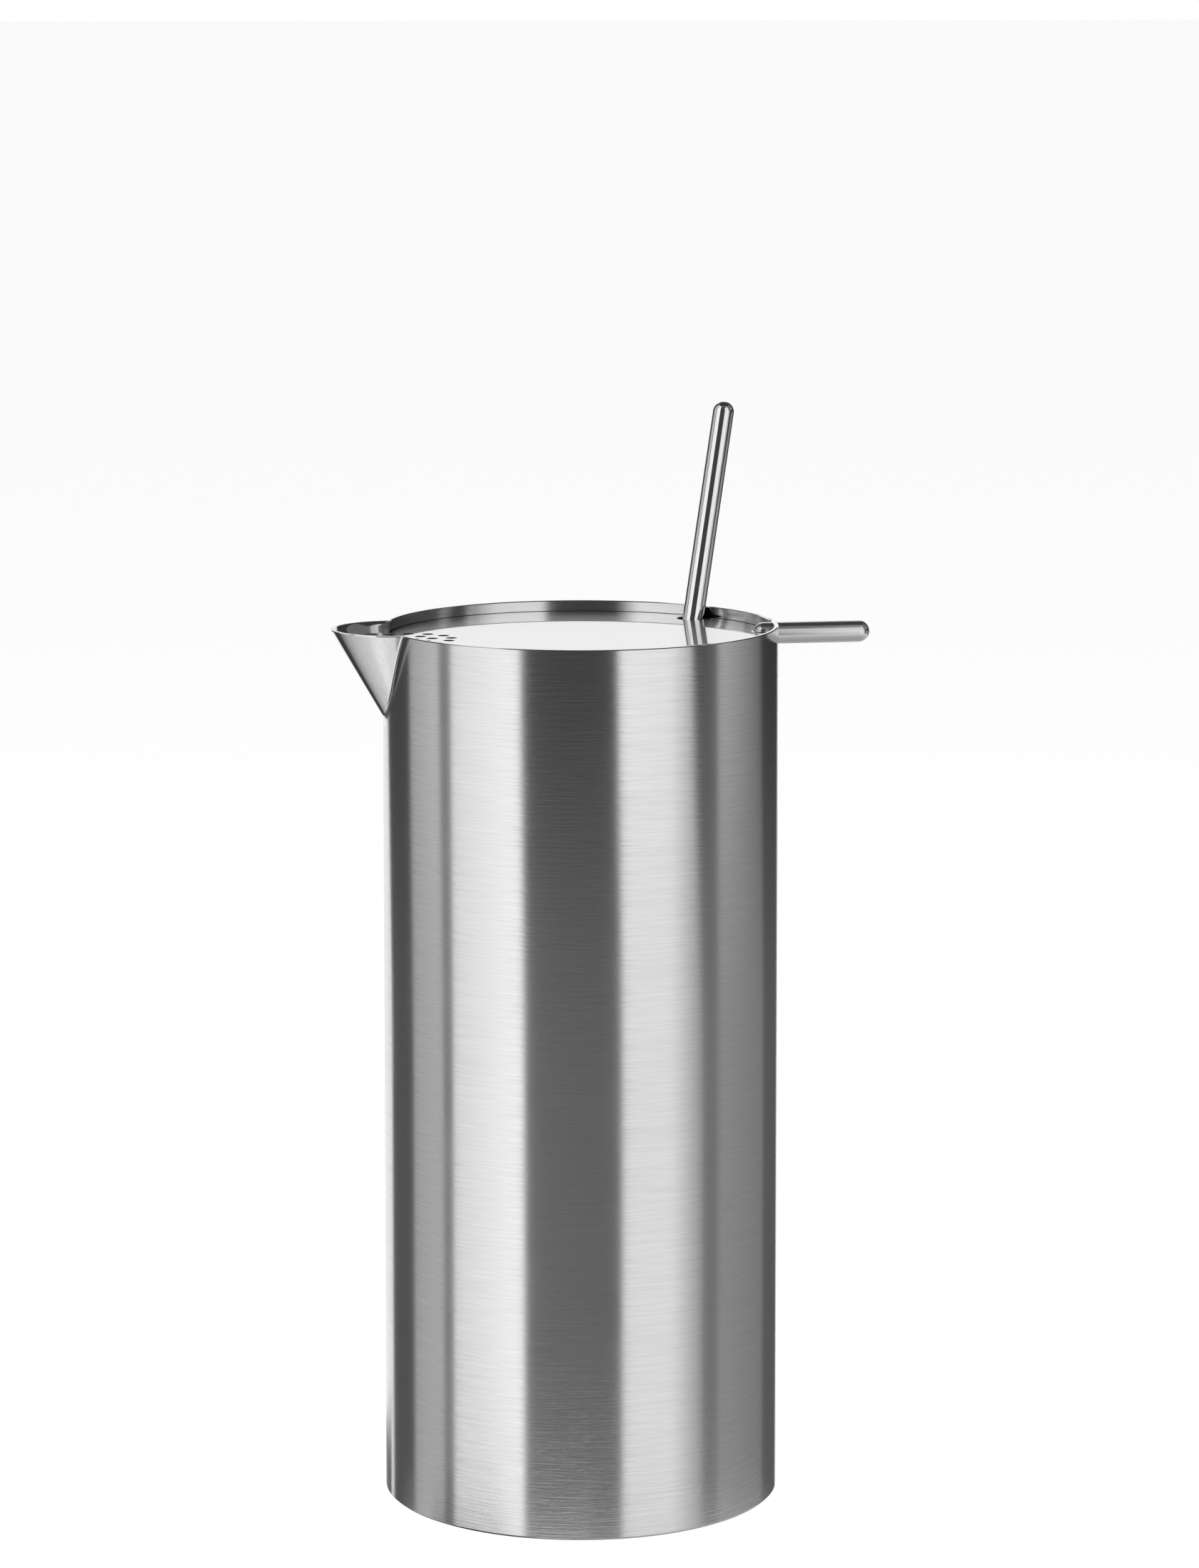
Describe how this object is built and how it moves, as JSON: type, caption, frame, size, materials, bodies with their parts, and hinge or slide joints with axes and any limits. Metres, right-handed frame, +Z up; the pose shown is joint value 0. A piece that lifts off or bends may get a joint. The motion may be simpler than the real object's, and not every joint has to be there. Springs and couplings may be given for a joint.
{
  "type": "cocktail pitcher",
  "caption": "Straight cylindrical steel cocktail pitcher with a half-cone pouring spout, a flat strainer lid on a rod handle, and a leaning rod stirrer.",
  "frame": {"origin": "on the vessel's axis, in the plane of the base plate's underside that the pitcher stands on", "axes": "+Z up along the vessel's axis, -X towards the spout, +X towards the handle, +Y to the side that the stirrer leans to"},
  "size_m": [0.1243, 0.09, 0.2476],
  "materials": {
    "brushed_body": "brushed round the body",
    "satin_base": "turned satin",
    "satin_spout": "fine satin",
    "polished_lid": "mirror polished",
    "satin_handle": "satin, brushed along the rod",
    "polished_stirrer": "polished",
    "weld_bead": "polished weld",
    "silver_braze": "satin"
  },
  "bodies": {
    "vessel": {"vessel_wall": "brushed_body", "base_plate": "satin_base", "base_weld": "weld_bead", "spout_cone": "satin_spout", "spout_weld": "weld_bead"},
    "lid": {"lid_plate": "polished_lid", "handle_rod": "satin_handle", "handle_weld": "weld_bead"},
    "stirrer": {"stirrer_rod": "polished_stirrer", "stirrer_bowl": "polished_stirrer", "bowl_braze": "silver_braze"}
  },
  "joints": [
    {"name": "lid_lift", "type": "slide", "parent": "vessel", "child": "lid", "axis": [0, 0, 1], "range_m": [0, 0.06]},
    {"name": "stirrer_lift", "type": "slide", "parent": "vessel", "child": "stirrer", "axis": [0.1734, 0.1455, 0.974], "range_m": [0, 0.12]}
  ]
}
